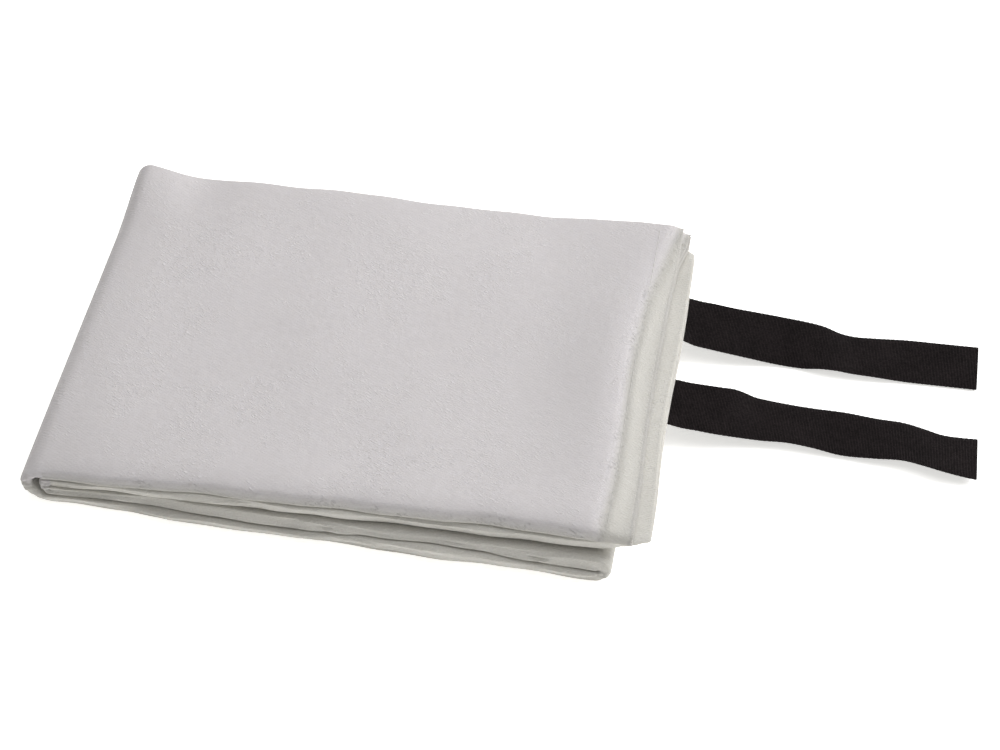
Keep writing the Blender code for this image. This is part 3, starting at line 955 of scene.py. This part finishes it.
def hem_rows(panel, edge_x, inset):
    """One row of stitches along a hem, on both faces of its roll."""
    x = edge_x - inset
    reach = PACK_DEPTH / 2 - 4 * layer_pitch(x) - ROW_INSET
    rows = []
    for upper in (True, False):
        rows += stitch_line(panel, (x, -reach), (x, reach), upper)
    return rows


def box_stitches(centre_y):
    """The box of stitches over a tape's tab, on the upper face of the tape edge's hem."""
    start_x, end_x = TAPE_EDGE_X - BOX_START, TAPE_EDGE_X - BOX_END
    low, high = centre_y - BOX_HALF_WIDTH, centre_y + BOX_HALF_WIDTH
    corners = ((start_x, low), (end_x, low), (end_x, high), (start_x, high))
    stitches = []
    for index, corner in enumerate(corners):
        stitches += stitch_line(2, corner, corners[(index + 1) % 4], True)
    return stitches


# Each tape's middle line: its place along X, then its Y, its height and how much higher its far
# edge lies than its near one, in metres
FAR_TAPE_LINE = np.array((
    (121.5, 48.0, 12.6, 0.0),
    (131.0, 47.7, 12.5, 0.0),
    (135.4, 47.4, 11.3, 1.0),
    (139.6, 47.1, 10.3, 2.2),
    (146.0, 47.0, 9.5, 3.0),
    (155.0, 47.1, 8.1, 3.2),
    (165.0, 47.8, 6.2, 4.2),
    (177.0, 48.7, 3.9, 5.3),
    (188.0, 48.6, 3.2, 3.9),
    (196.0, 48.0, 3.6, 0.3),
    (203.0, 47.5, 2.7, -2.6),
    (209.0, 47.4, 2.0, -2.9),
    (218.0, 47.7, 1.8, -2.2),
    (232.0, 48.8, 1.0, -0.3),
    (248.0, 49.4, 0.8, 0.0),
    (264.0, 49.8, 0.9, 0.2),
)) / 1000
NEAR_TAPE_LINE = np.array((
    (121.5, -2.0, 12.6, 0.0),
    (131.0, -2.0, 12.6, 0.0),
    (135.4, -2.1, 11.8, 0.9),
    (140.0, -2.2, 11.1, 1.2),
    (146.0, -1.9, 10.4, 1.4),
    (154.0, -1.2, 9.1, 2.1),
    (160.5, -0.1, 7.6, 2.2),
    (164.0, 0.6, 6.2, 0.9),
    (169.0, 1.2, 4.4, -1.2),
    (174.0, 1.8, 3.3, -2.0),
    (184.0, 2.4, 2.5, -3.5),
    (196.0, 2.0, 2.1, -3.0),
    (208.0, 1.5, 1.5, -1.0),
    (222.0, 0.8, 2.0, -2.8),
    (235.0, 0.3, 2.8, -4.2),
    (243.0, -1.6, 3.1, -4.7),
    (250.0, -3.4, 3.2, -5.0),
    (259.0, -3.8, 2.6, -3.8),
    (265.4, -3.6, 2.1, -2.8),
)) / 1000


def pull_tape(name, line, look):
    """One length of ribbed webbing, from its sewn tab under the hem to its cut end."""
    places_along, middle_y, middle_z, rises = line.T
    fine_x = np.linspace(places_along[0], places_along[-1], TAPE_CURVE_STEPS)
    level = through(middle_z, places_along, fine_x)
    run = np.concatenate([[0], np.cumsum(np.hypot(np.diff(fine_x), np.diff(level)))])
    count = int(run[-1] / (RIB_PITCH / STEPS_PER_RIB))
    runs = np.linspace(0, run[-1], count + 1)
    places_x = np.interp(runs, run, fine_x)
    heights = np.interp(places_x, fine_x, level)
    shares = np.linspace(-1, 1, TAPE_SIDES + 1)
    points, places = [], []
    for index, (x, z, here) in enumerate(zip(places_x, heights, runs)):
        before, after = max(index - 1, 0), min(index + 1, count)
        ahead = Vector((places_x[after] - places_x[before], 0, heights[after] - heights[before]))
        ahead.normalize()
        centre_y = float(through(middle_y, places_along, x))
        lift = float(through(rises, places_along, x))
        wave = math.cos(2 * math.pi * here / RIB_PITCH)
        half = math.sqrt(TAPE_WIDTH**2 - lift**2) / 2
        slope = Vector((0, half, lift / 2)).normalized()
        up = ahead.cross(slope)
        up = -up if up.z < 0 else up
        for face in (1, -1):
            for share in shares[::face]:
                edge = max(0.0, (abs(share) - TAPE_ROUND_FROM) / (1 - TAPE_ROUND_FROM))
                thick = TAPE_THICKNESS / 2 * math.sqrt(1 - 0.75 * edge**2)
                thick += RIB_HEIGHT * wave * (1 - edge)
                reach = half + edge * (EDGE_RIB * wave + EDGE_WAVER * math.sin(here * 3100))
                spot = Vector((x, centre_y, z)) + slope * (share * reach) + up * (face * thick)
                points.append(tuple(spot))
                places.append((share * half, here, face))
    ring = 2 * (TAPE_SIDES + 1)
    return closed_skin(name, points, places, ring, look), float(run[-1])


# Putting it together --------------------------------------


def add_cloth(cloth, hem, thread):
    """The sheet, its two hems and their seams, each on its body, but for the outer fold's two
    pieces, which stay on no body.
    """
    width = float(roll_centreline(layer_pitch(0.0), 0)[3][-1])
    stations, length = lower_pack_stations()
    lower = skin("lower_pack_cloth", stations, cloth)
    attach(lower, "lower_pack")
    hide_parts("bottom_panel", "right_fold", "lower_middle_panel", "inner_left_fold")
    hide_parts("upper_middle_panel")
    stations, top_length = top_stations()
    top = skin("top_flap_cloth", stations, cloth)
    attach(top, "top_flap")
    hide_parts("top_panel")
    bend = fold_bend_points()
    for name, shares, bodies, points in (
        ("outer_fold_foot_cloth", (0.0, 0.5), ("lower_pack", "fold_spine"), bend[0]),
        ("outer_fold_head_cloth", (0.5, 1.0), ("fold_spine", "top_flap"), bend[1]),
    ):
        piece = skin(name, outer_fold_stations(*shares), cloth)
        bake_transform(piece)
        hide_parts("outer_left_fold")
    for name, node, panel, edge_x, body, sheet, sheet_length in (
        ("tape_edge_hem_cloth", "tape_edge_hem", 2, TAPE_EDGE_X, "lower_pack", lower, length),
        ("top_edge_hem_cloth", "top_edge_hem", 3, TOP_EDGE_X, "top_flap", top, top_length),
    ):
        piece = skin(name, hem_stations(panel, edge_x), hem)
        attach(piece, body)
        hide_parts(node)
        stem = node.removesuffix("_edge_hem")
        for row, inset in (("outer", ROW_INSET), ("inner", HEM_DEPTH - ROW_INSET)):
            row_stitches = hem_rows(panel, edge_x, inset)
            stitches = thread_tubes(f"{stem}_hem_{row}_stitches", row_stitches, thread)
            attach(stitches, body)
            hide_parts(f"{stem}_hem_{row}_stitch_row")


def fold_bend_points():
    """Two points each at the outer fold's foot and head, along its slanting middle."""
    outside = panel_thickness(TURN_X)
    inside = TURN_Z + fold_radius(TURN_X)
    half = (inside - outside) / 2
    foot = ((TURN_X, 0, outside), (TURN_X - half, 0, outside + half))
    top = 2 * TURN_Z
    head = ((TURN_X - half, 0, top - outside - half), (TURN_X, 0, top - outside))
    return foot, head


def add_tapes(webbing, thread):
    """The two pull tapes, which bend at their roots, and the seams over their sewn tabs."""
    for side, line in (("far", FAR_TAPE_LINE), ("near", NEAR_TAPE_LINE)):
        tape, length = pull_tape(f"{side}_pull_webbing", line, webbing)
        centre_y, root_z = line[2, 1], line[2, 2]
        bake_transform(tape)
        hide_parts(f"{side}_tape_tab", f"{side}_pull_tape")
        box = thread_tubes(f"{side}_tape_box_stitches", box_stitches(centre_y), thread)
        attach(box, "lower_pack")
        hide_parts(f"{side}_tape_box_stitch")


def point(data, place, ahead):
    """Puts a lamp or a camera in its place, pointing ahead."""
    holder = bpy.data.objects.new(data.name, data)
    holder.location = place
    holder.rotation_mode = "QUATERNION"
    holder.rotation_quaternion = ahead.to_track_quat("-Z", "Y")
    bpy.context.scene.collection.objects.link(holder)
    return holder


def add_stage():
    """The floor, two softboxes and the air's own light."""
    mesh = bpy.data.meshes.new("studio_floor")
    half = FLOOR_SIDE / 2
    corners = [(-half, -half, 0), (half, -half, 0), (half, half, 0), (-half, half, 0)]
    mesh.from_pydata(corners, [], [(0, 1, 2, 3)])
    mesh.materials.append(studio_paper("studio_paper"))
    floor = bpy.data.objects.new("studio_floor", mesh)
    floor.location.z = -FLOOR_GAP
    bpy.context.scene.collection.objects.link(floor)
    for name, place, size, power in SOFTBOXES:
        light = bpy.data.lights.new(name, "AREA")
        light.shape, light.size, light.energy = "SQUARE", size, power
        point(light, place, -Vector(place))
    world = bpy.data.worlds.new("studio_air")
    world.use_nodes = True
    air = world.node_tree.nodes["Background"]
    air.inputs["Color"].default_value = AIR_COLOUR
    air.inputs["Strength"].default_value = AIR_STRENGTH
    bpy.context.scene.world = world
    bpy.context.scene.view_settings.view_transform = "Standard"


def add_camera():
    """The photograph's camera."""
    data = bpy.data.cameras.new("camera")
    data.lens, data.sensor_width = CAMERA_LENS, CAMERA_SENSOR
    data.clip_start, data.clip_end = CAMERA_CLIP
    ahead = Vector((
        math.sin(CAMERA_AZIMUTH) * math.cos(CAMERA_ELEVATION),
        math.cos(CAMERA_AZIMUTH) * math.cos(CAMERA_ELEVATION),
        -math.sin(CAMERA_ELEVATION),
    ))
    bpy.context.scene.camera = point(data, CAMERA_PLACE, ahead)


add_camera()
add_stage()
cloth_look = satin_cloth("glass_satin", *WHITE_GLASS, *CREAM_GLASS)
hem_look = satin_cloth("glass_satin_hem", *WHITE_GLASS, *CREAM_GLASS)
thread_look = twisted_thread("glass_thread")
add_cloth(cloth_look, hem_look, thread_look)
add_tapes(ribbed_webbing("ribbed_webbing"), thread_look)
